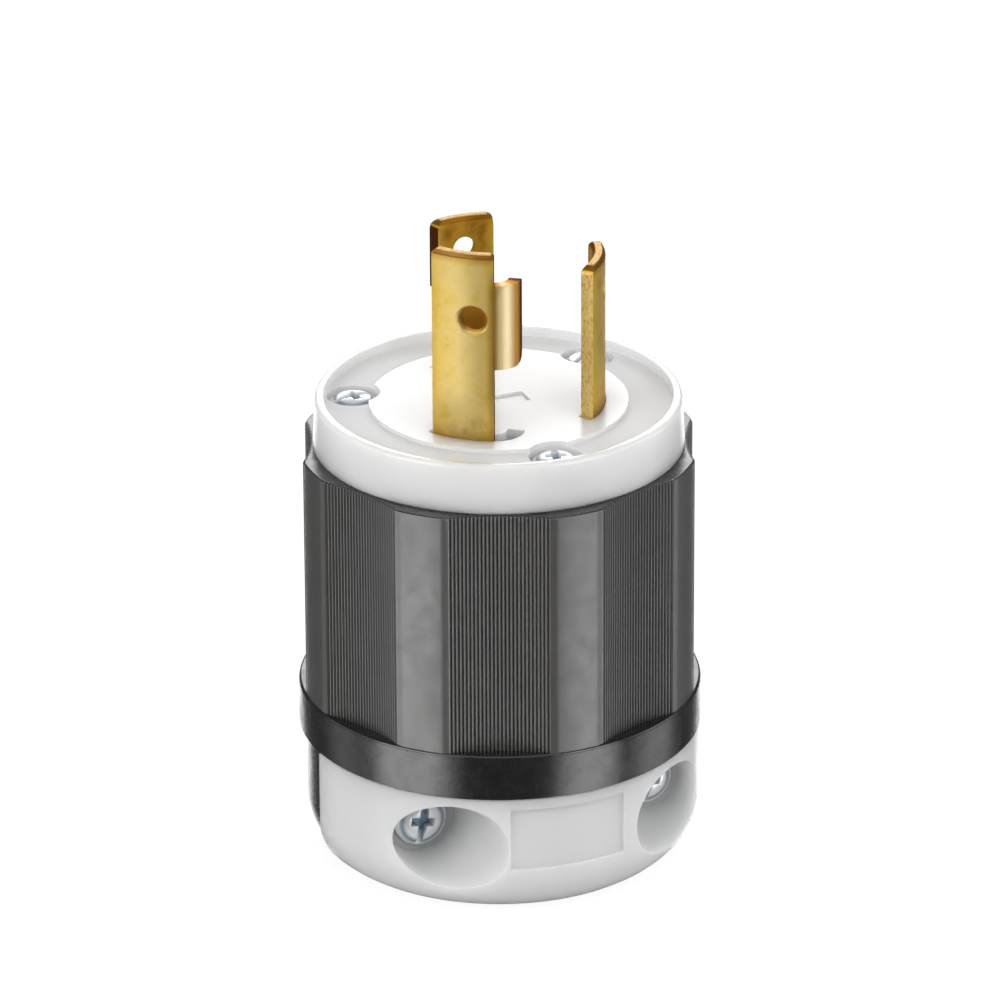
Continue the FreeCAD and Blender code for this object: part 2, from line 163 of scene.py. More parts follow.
def soft_box(name, side, height, distance, size, power):
    """Lamp that faces the plug from a side and a height angle in degrees, sizes in millimetres."""
    lamp = bpy.data.lights.new(name, "AREA")
    lamp.shape = "RECTANGLE"
    lamp.size = size[0] * MM
    lamp.size_y = size[1] * MM
    lamp.energy = power
    box = bpy.data.objects.new(name, lamp)
    scene.collection.objects.link(box)
    turn = camera_side_angle + math.radians(side)
    rise = math.radians(height)
    line = Vector((math.sin(turn) * math.cos(rise), -math.cos(turn) * math.cos(rise), math.sin(rise)))
    box.location = Vector((0, 0, lamp_aim_level * MM)) + line * distance * MM
    box.rotation_euler = line.to_track_quat("Z", "Y").to_euler()
    box.visible_camera = False
    return box


soft_box("box_left", -52, 24, 1000, (720, 420), 5.7)
soft_box("box_right", 52, 24, 1000, (540, 420), 3.9)
soft_box("side_left", -98, 22, 1000, (420, 420), 0.6)
soft_box("side_right", 98, 22, 1000, (500, 420), 1.5)
soft_box("box_front", 5, 50, 1000, (600, 400), 1.4).visible_glossy = False
soft_box("box_top", 0, 80, 900, (800, 800), 1.85)
soft_box("box_back", 180, 24, 1100, (900, 500), 5.2)


# Outer shell: one black nylon moulding. Its grip has smooth lobes and hollow flutes with
# fine upright ribs, and below it come the plain band and the rear half of the cord clamp.
lobe_count = 8
lobe_radius = 25.15
lobe_angle = 16.2
lobe_edge_drop = 0.12
flute_floor = 23.65
ribs_per_flute = 26
rib_depth = 0.28
rib_margin = 0.1
rib_steps = 6
lobe_steps = 12
shell_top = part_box("shell")[1][2] / MM
grip_foot = 22.4
rim_round = 0.25
edge_middle = 0.3
flat_margin = 0.06
bore_radius = 21.25
bore_floor = 27.6
bore_ledge = 0.6
throat_top = 20.6
cord_radius = 10.0
band_radius = 25.4
band_low = 17.2
band_high = 23.2
band_edge = 0.4
band_foot_edge = 0.15
rear_radius = 24.45
base_round = 7.5
clamp_face = -1.5
rear_face = -1.1
screw_offset = 15.4
screw_level = 10.2
hole_radius = 2.2
screw_hole_end = 10.2
nut_corner = 4.16
nut_pocket = 3.2
boss_radius = 4.0
boss_foot = 22.6
insert_gap = 0.05
ridge_levels = (3.6, 8.5, 13.4)
ridge_height = 1.0
ridge_half = 1.2
turn_steps = 160
small_turn_steps = 40
past = 1
weld_reach = 0.001
cut_reach = 0.0001


def flute_place(index, ribbed):
    """Point on one lobe and flute, counted from the start of the lobe, in millimetres."""
    if index < lobe_steps:
        angle = math.radians(lobe_angle * (index / lobe_steps - 0.5))
        reach = lobe_radius - (lobe_edge_drop if index == 0 else 0)
        return reach * math.cos(angle), reach * math.sin(angle)
    half = math.radians(180 / lobe_count - lobe_angle / 2)
    edge_x, edge_y = lobe_radius * math.cos(half), lobe_radius * math.sin(half)
    sagitta = edge_x - flute_floor
    hollow = (edge_y ** 2 + sagitta ** 2) / (2 * sagitta)
    sweep = math.asin(edge_y / hollow)
    steps = ribs_per_flute * rib_steps
    step = index - lobe_steps - 1
    lean = (sweep - rib_margin / hollow) * (2 * step / steps - 1) if 0 <= step <= steps else -sweep
    reach = hollow + rib_depth * (1 - abs(math.cos(math.pi * step / rib_steps))) * ribbed
    if step < 0:
        reach += lobe_edge_drop
    x, y = flute_floor + hollow - reach * math.cos(lean), reach * math.sin(lean)
    middle = math.radians(180 / lobe_count)
    return x * math.cos(middle) - y * math.sin(middle), x * math.sin(middle) + y * math.cos(middle)


def wall_loop(bm, edges, move):
    """New loop of the wall, drawn on from the last one and moved into place."""
    drawn = bmesh.ops.extrude_edge_only(bm, edges=edges)["geom"]
    verts = {item for item in drawn if isinstance(item, bmesh.types.BMVert)}
    for vert in verts:
        vert.co = move(vert)
    return [item for item in drawn if isinstance(item, bmesh.types.BMEdge) and set(item.verts) <= verts]


def grip_tube():
    """Closed wall of the fluted grip, with its flat rim and its smooth bore."""
    bm = bmesh.new()
    pitch_steps = lobe_steps + ribs_per_flute * rib_steps + 2
    mark = bm.verts.layers.int.new("place")
    bmesh.ops.create_circle(bm, segments=pitch_steps * lobe_count, radius=lobe_radius * MM)
    bm.verts.ensure_lookup_table()
    for index, vert in enumerate(bm.verts):
        vert[mark] = index
    foot = list(bm.edges)

    def outer(level, ribbed, inset=0.0):
        def move(vert):
            x, y = flute_place(vert[mark] % pitch_steps, ribbed)
            turn = Matrix.Rotation(math.radians(360 / lobe_count) * (vert[mark] // pitch_steps), 3, "Z")
            flat = turn @ Vector((x, y, 0))
            return (flat - flat.normalized() * inset + Vector((0, 0, level))) * MM
        return move

    def inner(level, inset=0.0):
        def move(vert):
            flat = outer(0, False)(vert).normalized() * (bore_radius + inset)
            return (flat + Vector((0, 0, level))) * MM
        return move

    for vert in bm.verts:
        vert.co = outer(grip_foot, True)(vert)
    edges = foot
    for move in (
        outer(shell_top - rim_round, True),
        outer(shell_top - rim_round * edge_middle, True, rim_round * edge_middle),
        outer(shell_top, True, rim_round),
        outer(shell_top, True, rim_round + flat_margin),
        inner(shell_top, rim_round),
        inner(shell_top - rim_round),
        inner(grip_foot),
    ):
        edges = wall_loop(bm, edges, move)
    bmesh.ops.bridge_loops(bm, edges=foot + edges)
    bmesh.ops.recalc_face_normals(bm, faces=bm.faces)
    return bm


def turned(points, steps=turn_steps):
    """Ring turned about the axis from a closed outline of radius and level in millimetres."""
    bm = bmesh.new()
    verts = [bm.verts.new((radius * MM, 0, level * MM)) for radius, level in points]
    outline = [bm.edges.new(pair) for pair in zip(verts, verts[1:] + verts[:1])]
    bmesh.ops.spin(
        bm, geom=verts + outline, cent=(0, 0, 0), axis=(0, 0, 1), dvec=(0, 0, 0),
        angle=math.tau, steps=steps, use_merge=True, use_duplicate=False,
    )
    bmesh.ops.remove_doubles(bm, verts=bm.verts, dist=weld_reach * MM)
    bmesh.ops.recalc_face_normals(bm, faces=bm.faces)
    return bm


def sliced(bm, point, across, clear_outer=False):
    """What a plane through a point in millimetres cuts from a mesh."""
    return bmesh.ops.bisect_plane(
        bm, geom=list(bm.verts) + list(bm.edges) + list(bm.faces), dist=cut_reach * MM,
        plane_co=[value * MM for value in point], plane_no=across, clear_outer=clear_outer,
    )["geom_cut"]


def half_ring(bm, side, depth):
    """Part of a ring on one side of the clamp's split, closed at its cut faces."""
    cut = sliced(bm, (0, depth, 0), (0, -side, 0), True)
    bmesh.ops.edgeloop_fill(bm, edges=[item for item in cut if isinstance(item, bmesh.types.BMEdge)])
    bmesh.ops.recalc_face_normals(bm, faces=bm.faces)
    return bm


def round_corner(x, z, radius, start, steps=8):
    """Quarter circle of outline points round a centre, from a start angle in degrees."""
    angles = [math.radians(start + 90 * step / steps) for step in range(steps + 1)]
    return [(x + radius * math.cos(angle), z + radius * math.sin(angle)) for angle in angles]


def passage_points():
    """Outline of the cord passage, from its top to its mouth, with the gripping ridges."""
    points = []
    for level in reversed(ridge_levels):
        points += [
            (cord_radius, level + ridge_half),
            (cord_radius - ridge_height, level),
            (cord_radius, level - ridge_half),
        ]
    return points


def as_object(name, bm):
    """Scene object that holds a mesh."""
    mesh = bpy.data.meshes.new(name)
    bm.to_mesh(mesh)
    bm.free()
    made = bpy.data.objects.new(name, mesh)
    scene.collection.objects.link(made)
    return made


def lay_in(bm, part):
    """Second mesh laid into the first one."""
    held = bpy.data.meshes.new("part")
    part.to_mesh(held)
    part.free()
    bm.from_mesh(held)
    bpy.data.meshes.remove(held)


def carved(bm, cutters):
    """Mesh less its cutters."""
    stock = as_object("stock", bm)
    tools = [as_object("cutter", cutter) for cutter in cutters]
    for tool in tools:
        cut = stock.modifiers.new("cut", "BOOLEAN")
        cut.operation = "DIFFERENCE"
        cut.solver = "EXACT"
        cut.object = tool
    depsgraph = bpy.context.evaluated_depsgraph_get()
    result = bmesh.new()
    result.from_object(stock, depsgraph)
    for spent in [stock] + tools:
        bpy.data.objects.remove(spent)
    bmesh.ops.remove_doubles(result, verts=result.verts, dist=weld_reach * MM)
    return result


def rod(radius, start, end, segments=48, tip_radius=None):
    """Round bar or cone between two points in millimetres."""
    bm = bmesh.new()
    line = Vector(end) - Vector(start)
    middle = Matrix.Translation((Vector(start) + Vector(end)) / 2 * MM)
    bmesh.ops.create_cone(
        bm, cap_ends=True, segments=segments, radius1=radius * MM,
        radius2=(radius if tip_radius is None else tip_radius) * MM, depth=line.length * MM,
        matrix=middle @ line.to_track_quat("Z", "Y").to_matrix().to_4x4(),
    )
    return bm


def upright_axis(node):
    """Plan position of an upright round piece's axis, in millimetres, with its box."""
    low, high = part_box(node)
    return (low[0] + high[0]) / 2 / MM, (low[1] + high[1]) / 2 / MM, low, high


def round_edges(piece, width, angle=35):
    """Small moulded or broken edge on every sharp corner, made part of the piece's mesh."""
    bevel = piece.modifiers.new("edge_round", "BEVEL")
    bevel.width = width * MM
    bevel.segments = 2
    bevel.limit_method = "ANGLE"
    bevel.angle_limit = math.radians(angle)
    bevel.miter_outer = "MITER_ARC"
    bevel.use_clamp_overlap = True
    depsgraph = bpy.context.evaluated_depsgraph_get()
    rounded = bpy.data.meshes.new_from_object(piece.evaluated_get(depsgraph))
    piece.modifiers.clear()
    piece.data = rounded
    return rounded


def finish_piece(piece, material, replaced, edge=0.0, smooth_angle=40):
    """Edges, shading, material and place of a finished piece."""
    if edge:
        round_edges(piece, edge)
    mesh = piece.data
    for face in mesh.polygons:
        face.use_smooth = True
    mesh.set_sharp_from_angle(angle=math.radians(smooth_angle))
    even = piece.modifiers.new("even_shading", "WEIGHTED_NORMAL")
    even.keep_sharp = True
    mesh.materials.clear()
    mesh.materials.append(material)
    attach(piece, "root")
    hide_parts(*replaced)
    return piece


def cloudy_material(name, settings, dark, light, size, detail=3):
    """Material whose colour wanders between two tones, in clouds of a size in millimetres."""
    material, tree, surface = start_material(name, settings)
    place = add_node(tree, "ShaderNodeTexCoord").outputs["Object"]
    cloud = add_node(tree, "ShaderNodeTexNoise", {"Scale": 1 / (size * MM), "Detail": detail}, {
        "Vector": place,
    }).outputs["Fac"]
    shade = add_node(tree, "ShaderNodeMix", {"data_type": "RGBA", 6: tone(dark), 7: tone(light)}, {
        0: cloud,
    }).outputs[2]
    tree.links.new(shade, surface.inputs["Base Color"])
    return material, tree, surface, {"place": place, "cloud": cloud, "shade": shade}


# Glass-filled nylon, moulded black: a satin skin with a faint orange-peel from the tool,
# so soft boxes show as broad grey streaks. The grip's base colour is painted greyer, a
# painted sheen for the broad haze of its gloss, and the grip has a coat.
nylon_ior = 1.53
black_cloud_size = 6.0
rub_size = 2.5
rub_range = 0.12
peel_size = 0.35
peel_height = 0.05


def black_moulding(name, settings, dark, light, roughness, peel):
    """Black nylon with a faint cloudy colour, rubbed patches and the tool's peel."""
    material, tree, surface, base = cloudy_material(
        name, {"IOR": nylon_ior, **settings}, dark, light, black_cloud_size,
    )
    wear = add_node(tree, "ShaderNodeTexNoise", {"Scale": 1 / (rub_size * MM), "Detail": 4}, {
        "Vector": base["place"],
    })
    rub = add_node(tree, "ShaderNodeMapRange", {
        "From Min": 0.3, "From Max": 0.7, "To Min": roughness, "To Max": roughness + rub_range,
    }, {"Value": wear.outputs["Fac"]})
    tree.links.new(rub.outputs["Result"], surface.inputs["Roughness"])
    if peel:
        fine = add_node(tree, "ShaderNodeTexNoise", {"Scale": 1 / (peel_size * MM), "Detail": 2}, {
            "Vector": base["place"],
        })
        bump = add_node(tree, "ShaderNodeBump", {"Strength": peel, "Distance": peel_height * MM}, {
            "Height": fine.outputs["Fac"],
        })
        tree.links.new(bump.outputs["Normal"], surface.inputs["Normal"])
    return material


black_nylon = black_moulding(
    "moulded_black_nylon", {"Specular IOR Level": 0.85}, "#080809", "#0e0e0f", 0.2, 0.06,
)
# The grip's nylon: its greyer base colour is a painted sheen that stands in for its gloss.
grip_nylon_painted_sheen = black_moulding(
    "grip_black_nylon_painted_sheen", {"Specular IOR Level": 1.0, "Coat Weight": 0.85, "Coat Roughness": 0.46},
    "#292725", "#34322f", 0.32, 0,
)

band_ring = turned([
    (cord_radius, band_low),
    (band_radius - band_foot_edge, band_low),
    (band_radius, band_low + band_foot_edge),
    (band_radius, band_high - band_edge),
    (band_radius - band_edge * edge_middle, band_high - band_edge * edge_middle),
    (band_radius - band_edge, band_high),
    (band_radius - band_edge - flat_margin, band_high),
    (bore_radius + 1, band_high),
    (bore_radius + bore_ledge, bore_floor),
    (bore_radius, bore_floor),
    (cord_radius, throat_top),
])
rear_body = half_ring(turned(
    [(cord_radius, 0)] + round_corner(rear_radius - base_round, base_round, base_round, -90)
    + [(rear_radius, band_low), (cord_radius, band_low)] + passage_points()
), 1, rear_face)
rear_cutters = []
for axis_x in (-screw_offset, screw_offset):
    start = (axis_x, rear_face - past, screw_level)
    nut = rod(nut_corner, start, (axis_x, rear_face + nut_pocket, screw_level), 6)
    flat_up = Matrix.Rotation(math.radians(30), 3, "Y")
    bmesh.ops.rotate(nut, verts=nut.verts, cent=(axis_x * MM, 0, screw_level * MM), matrix=flat_up)
    rear_cutters += [nut, rod(hole_radius, start, (axis_x, screw_hole_end, screw_level))]
bosses = []
for number in (1, 2, 3):
    axis_x, axis_y, low, high = upright_axis("threaded_insert_%d" % number)
    seat_radius = (high[0] - low[0]) / 2 / MM + insert_gap
    seat_floor = low[2] / MM - insert_gap
    boss_top = high[2] / MM
    boss = turned([
        (seat_radius, seat_floor), (seat_radius, boss_top), (boss_radius, boss_top),
        (boss_radius, boss_foot), (0, boss_foot), (0, seat_floor),
    ], small_turn_steps)
    bmesh.ops.translate(boss, verts=boss.verts, vec=(axis_x * MM, axis_y * MM, 0))
    bosses.append(boss)
shell_parts = bmesh.new()
for part in [grip_tube(), band_ring, carved(rear_body, rear_cutters)] + bosses:
    lay_in(shell_parts, part)
shell = finish_piece(
    as_object("grip_shell", shell_parts), black_nylon, ["shell"], smooth_angle=60,
)
# The grip's walls take the second nylon, whose greyer base colour is a painted sheen.
shell.data.materials.append(grip_nylon_painted_sheen)
for face in shell.data.polygons:
    middle = face.center / MM
    if band_high < middle.z < shell_top - rim_round / 2 and middle.xy.length > bore_radius + 1:
        face.material_index = 1


# Cord clamp: the loose half, moulded in natural white nylon. Two stepped, flared scoops
# give room for the screw heads, and a shallow recess in its front stays bare.
clamp_radius = 25.3
clamp_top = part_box("cord_clamp")[1][2] / MM
clamp_edge = 0.18
clamp_corner_steps = 12
clamp_head_height = 2.2
step_radius = 3.6
step_depth = 1.0
scoop_radius = 4.3
scoop_flare = 9.0
scoop_stretch = 1.07
scoop_segments = 96
recess_half_angle = 17.55
recess_turn = -2.15
recess_low, recess_high = 7.5, 15.8
recess_depth = 0.5
recess_steps = 14

# Natural nylon is milky: light sinks in and comes out softened, under a soft gloss. The
# tool's skin is eroded in the face's sunk ring, which shows duller than the rest.
milk_depth = 7
white_cloud_size = 9
ring_zone = (16.1, 21.9)
ring_levels = (59.9, 60.1, 60.4)
white_peel_size = 0.8
white_nylon, white_tree, white_surface, white_base = cloudy_material("moulded_white_nylon", {
    "IOR": nylon_ior,
    "Subsurface Weight": 0.9,
    "Subsurface Radius": (1, 1, 1),
    "Subsurface Scale": milk_depth * MM,
}, "#cdcdcd", "#d4d4d4", white_cloud_size, 2)
white_plan = add_node(white_tree, "ShaderNodeVectorMath", {"operation": "MULTIPLY", 1: (1, 1, 0)}, {
    0: white_base["place"],
})
white_reach = add_node(white_tree, "ShaderNodeVectorMath", {"operation": "LENGTH"}, {
    0: white_plan.outputs["Vector"],
})
white_level = add_node(white_tree, "ShaderNodeSeparateXYZ", links={0: white_base["place"]}).outputs["Z"]
white_ring = add_node(white_tree, "ShaderNodeMapRange", {
    "From Min": ring_levels[2] * MM, "From Max": ring_levels[1] * MM,
}, {"Value": white_level}).outputs["Result"]
for source, test, limit in (
    (white_reach.outputs["Value"], "GREATER_THAN", ring_zone[0]),
    (white_reach.outputs["Value"], "LESS_THAN", ring_zone[1]),
    (white_level, "GREATER_THAN", ring_levels[0]),
):
    white_side = add_node(white_tree, "ShaderNodeMath", {"operation": test, 1: limit * MM}, {0: source})
    white_ring = add_node(white_tree, "ShaderNodeMath", {"operation": "MULTIPLY"}, {
        0: white_ring, 1: white_side.outputs[0],
    }).outputs[0]
white_etched = add_node(white_tree, "ShaderNodeMix", {"data_type": "RGBA", 7: tone("#d6d6d6")}, {
    0: white_ring, 6: white_base["shade"],
})
white_tree.links.new(white_etched.outputs[2], white_surface.inputs["Base Color"])
white_haze = add_node(white_tree, "ShaderNodeMapRange", {"To Min": 0.25, "To Max": 0.6}, {
    "Value": white_ring,
})
white_tree.links.new(white_haze.outputs["Result"], white_surface.inputs["Roughness"])
white_peel = add_node(white_tree, "ShaderNodeTexNoise", {"Scale": 1 / (white_peel_size * MM), "Detail": 2}, {
    "Vector": white_base["place"],
})
white_bump = add_node(white_tree, "ShaderNodeBump", {"Strength": 0.05, "Distance": peel_height * MM}, {
    "Height": white_peel.outputs["Fac"],
})
white_tree.links.new(white_bump.outputs["Normal"], white_surface.inputs["Normal"])


def recess_cutter():
    """Curved tile that sinks the bare recess into the front of the clamp."""
    bm = bmesh.new()
    low, high = clamp_radius - recess_depth, clamp_radius + 2 * past
    corners = [(low, recess_low), (high, recess_low), (high, recess_high), (low, recess_high)]
    face = bm.faces.new([bm.verts.new((radius * MM, 0, level * MM)) for radius, level in corners])
    bmesh.ops.spin(
        bm, geom=[face] + list(face.edges) + list(face.verts), cent=(0, 0, 0), axis=(0, 0, 1), dvec=(0, 0, 0),
        angle=math.radians(2 * recess_half_angle), steps=recess_steps, use_duplicate=False, use_merge=False,
    )
    bmesh.ops.recalc_face_normals(bm, faces=bm.faces)
    to_front = Matrix.Rotation(math.radians(-90 - recess_half_angle + recess_turn), 3, "Z")
    bmesh.ops.rotate(bm, verts=bm.verts, matrix=to_front)
    return bm


clamp_body = half_ring(turned(
    [(cord_radius, 0)]
    + round_corner(clamp_radius - base_round, base_round, base_round, -90, clamp_corner_steps)
    + [(clamp_radius, clamp_top), (cord_radius, clamp_top)] + passage_points()
), -1, clamp_face)
screw_seat = -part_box("clamp_screw_1")[0][1] / MM - clamp_head_height
mouth = clamp_radius - screw_seat + 2 * past
scoop_mouth_radius = scoop_radius + mouth * math.tan(math.radians(scoop_flare))
clamp_cutters = [recess_cutter()]
for axis_x in (-screw_offset, screw_offset):
    outside = (axis_x, -clamp_radius, screw_level)
    clamp_cutters.append(rod(step_radius, (axis_x, -screw_seat, screw_level), outside, 64))
    scoop = rod(
        scoop_radius, (axis_x, -screw_seat - step_depth, screw_level),
        (axis_x, -screw_seat - step_depth - mouth, screw_level), scoop_segments, scoop_mouth_radius,
    )
    about_screw = Matrix.Translation((-axis_x * MM, 0, 0))
    bmesh.ops.scale(scoop, vec=(scoop_stretch, 1, 1), space=about_screw, verts=scoop.verts)
    clamp_cutters += [scoop, rod(hole_radius, (axis_x, 0, screw_level), outside)]
finish_piece(
    as_object("clamp_half", carved(clamp_body, clamp_cutters)), white_nylon, ["cord_clamp"],
    edge=clamp_edge,
)


# Face plate: white nylon disc, moulded with a raised rim, a sunk ring for markings that
# stays bare, pockets for the three long screws, and a curved slot for each blade.
face_low, face_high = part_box("face_plate")
face_foot = face_low[2] / MM
rim_top = face_high[2] / MM
rim_lift = 0.7
face_top = rim_top - rim_lift
foot_radius = 23.25
foot_edge = 0.1
rim_radius = 22.95
rim_soft = 0.6
rim_inner = 21.85
plateau = 16.2
channel = 0.55
face_edge = 0.14
pocket_radius = 3.4
pocket_depth = 2.4
pocket_segments = 72
pad_low, pad_high = (-4.5, -2.2), (3.7, 1.2)
pad_depth = 0.3
pad_slope = 0.35
blade_outer = 13.3
blade_thick = 1.65
slot_gap = 0.1
slot_overrun = 0.4
slot_steps = 40
hook_gap = 0.3
ground_span = (209.7, 245.3)
line_spans = ((70.1, 107.4), (-51.4, -6.0))
hook_bend = 2.5
hook_turn = 80
hook_leg = 0.3
blade_middle = blade_outer - blade_thick / 2
hook_length = hook_bend * math.radians(hook_turn) + hook_leg


def arc_width(span):
    """Length of a blade's middle line between two angles in degrees."""
    return math.radians(span[1] - span[0]) * blade_middle


def strip_place(along, across, span, hooked):
    """Plan position of a point along a blade's middle line, counted from the blade's start angle."""
    arc = arc_width(span)
    turn = math.radians(span[0]) + min(along, arc) / blade_middle
    on_arc = Vector((math.cos(turn), math.sin(turn)))
    if along <= arc or not hooked:
        tangent = Vector((-on_arc.y, on_arc.x))
        return on_arc * (blade_middle + across) + tangent * max(along - arc, 0)
    centre = on_arc * (blade_middle - hook_bend)
    bent = min((along - arc) / hook_bend, math.radians(hook_turn))
    outward = Matrix.Rotation(bent, 2) @ on_arc
    tangent = Vector((-outward.y, outward.x))
    left = along - arc - bent * hook_bend
    return centre + outward * (hook_bend + across) + tangent * left


def slot_cutter(span, hooked):
    """Bar in the plan shape of a blade, a little larger, that opens its slot."""
    bm = bmesh.new()
    start = -slot_gap - slot_overrun
    end = arc_width(span) + (hook_length + hook_gap if hooked else slot_gap)
    width = blade_thick + 2 * (hook_gap if hooked else slot_gap)
    bmesh.ops.create_grid(bm, x_segments=slot_steps, y_segments=1, size=0.5)
    for vert in bm.verts:
        along = start + (end - start) * (vert.co.x + 0.5)
        flat = strip_place(along, vert.co.y * width, span, hooked)
        vert.co = Vector((flat.x, flat.y, face_foot - past)) * MM
    drawn = bmesh.ops.extrude_face_region(bm, geom=list(bm.faces))["geom"]
    raised = [item for item in drawn if isinstance(item, bmesh.types.BMVert)]
    bmesh.ops.translate(bm, verts=raised, vec=(0, 0, (face_top - face_foot + 2 * past) * MM))
    bmesh.ops.recalc_face_normals(bm, faces=bm.faces)
    return bm


def box_cutter(low, high):
    """Plain bar between two corners in millimetres."""
    bm = bmesh.new()
    centre = (Vector(low) + Vector(high)) / 2 * MM
    size = (Vector(high) - Vector(low)) * MM
    bmesh.ops.create_cube(bm, size=1, matrix=Matrix.Translation(centre) @ Matrix.Diagonal(size.to_4d()))
    return bm


face_body = turned(
    [(0, face_foot), (foot_radius - foot_edge, face_foot), (foot_radius, face_foot + foot_edge)]
    + round_corner(rim_radius - rim_soft, rim_top - rim_soft, rim_soft, 0)
    + [(rim_inner, rim_top), (rim_inner, face_top - channel), (plateau, face_top - channel)]
    + [(plateau, face_top), (0, face_top)]
)
face_cutters = [slot_cutter(span, False) for span in line_spans] + [slot_cutter(ground_span, True)]
pad = box_cutter((*pad_low, face_top - pad_depth), (*pad_high, face_top + pad_depth))
pad_centre = (Vector(pad_low) + Vector(pad_high)) / 2 * MM
for vert in pad.verts:
    if vert.co.z < face_top * MM:
        for way in (0, 1):
            vert.co[way] -= math.copysign(pad_slope * MM, vert.co[way] - pad_centre[way])
face_cutters.append(pad)
for number in (1, 2, 3):
    axis = upright_axis("assembly_screw_%d" % number)[:2]
    pocket_floor = (*axis, face_top - pocket_depth)
    face_cutters.append(rod(pocket_radius, pocket_floor, (*axis, face_top + past), pocket_segments))
    face_cutters.append(rod(hole_radius, (*axis, face_foot - past), (*axis, face_top)))
finish_piece(
    as_object("face_disc", carved(face_body, face_cutters)), white_nylon, ["face_plate"],
    edge=face_edge,
)


# Blades: stamped from rolled brass strip and curved about the axis. Each has a punched
# detent hole, the line blades a locking foot, the ground blade a tab bent into a hook.
blade_root = 50.0
shank_low = 41.0
shank_width = 9.0
shank_face = 13.0
shank_overlap = 0.6
ground_height = 24.4
ground_hole_drop, ground_hole_shift, ground_hole_radius = 8.6, 1.3, 1.8
hole_chamfer = 0.2
punch_reach = 3
line_height = 20.0
line_hole_drop, line_hole_radius = 4.3, 1.6
foot_height = 9.0
neck_cut = 1.5
hook_low, hook_drop = 9.35, 4.1
hook_corner = 1.7
line_corner = 1.3
ground_corner = 0.6
tip_bevel, tip_height = 0.42, 0.6
edge_break = 0.14
ground_strips, line_strips = 44, 28
tab_tarnish_lift = 0.45
root_shadow, root_shadow_on_tab = 1.1, 0.5
wall_margin = 0.01

# Rolled brass, left bare: a warm satin that fingers and the outlet have tarnished. Its
# tints follow the flat blank: clouds of tarnish, shear grain and paler middles, and also
# painted light and shade: painted shade at the face and over the inner faces, and painted
# highlight and shade across the hook's bend and on the two end walls. Its roll lines are
# finer than a pixel, and are drawn wide enough to show.
brass_cloud_size = 3.2
shear_grain_size, shear_grain_stretch = 0.24, 0.45
roll_line_size, roll_line_stretch = 0.15, 0.06
roll_line_depth = 0.02
brass, brass_tree, brass_surface = start_material("rolled_cartridge_brass", {
    "Metallic": 0.7, "Specular Tint": tone("#d0a860"),
})
brass_place = add_node(brass_tree, "ShaderNodeTexCoord").outputs["Object"]
from_side, from_tip, above_face = add_node(brass_tree, "ShaderNodeSeparateXYZ", links={
    0: add_node(brass_tree, "ShaderNodeAttribute", {"attribute_name": "blank_place"}).outputs["Vector"],
}).outputs
end_wall, hook_share, hook_root, inner_face = (
    add_node(brass_tree, "ShaderNodeAttribute", {"attribute_name": name}).outputs["Fac"]
    for name in ("end_wall", "hook_share", "hook_root", "inner_face")
)
cloud = add_node(brass_tree, "ShaderNodeTexNoise", {
    "Scale": 1 / (brass_cloud_size * MM), "Detail": 5, "Roughness": 0.6,
}, {"Vector": brass_place}).outputs["Fac"]
grain, roll_lines = (
    add_node(brass_tree, "ShaderNodeTexNoise", {"Scale": 1 / (size * MM), "Detail": detail}, {
        "Vector": add_node(brass_tree, "ShaderNodeMapping", {"Scale": (1, 1, stretch)}, {
            "Vector": brass_place,
        }).outputs["Vector"],
    }).outputs["Fac"]
    for size, stretch, detail in (
        (shear_grain_size, shear_grain_stretch, 3),
        (roll_line_size, roll_line_stretch, 2),
    )
)
blotch, paler, near_face, level_top, speck = (
    add_node(brass_tree, "ShaderNodeMapRange", {"From Min": none_at, "From Max": full_at}, {
        "Value": source,
    }).outputs["Result"]
    for source, none_at, full_at in (
        (cloud, 0.45, 0.62),
        (cloud, 0.4, 0.58),
        (above_face, 4.0, 0.5),
        (from_tip, 0.12, 0.02),
        (grain, 0.42, 0.6),
    )
)
inner_blotch_and_shade, painted_shade_low_inside, blotch_and_shade_near_face, rough_end, rough_top = (
    add_node(brass_tree, "ShaderNodeMath", {"operation": "MULTIPLY"}, {0: first, 1: second}).outputs[0]
    for first, second in (
        (inner_face, blotch),
        (inner_face, from_tip),
        (near_face, blotch),
        (end_wall, speck),
        (level_top, speck),
    )
)
tint = add_node(brass_tree, "ShaderNodeMix", {
    "data_type": "RGBA", 6: tone("#c6a84e"), 7: tone("#dac47e"),
}, {0: paler}).outputs[2]
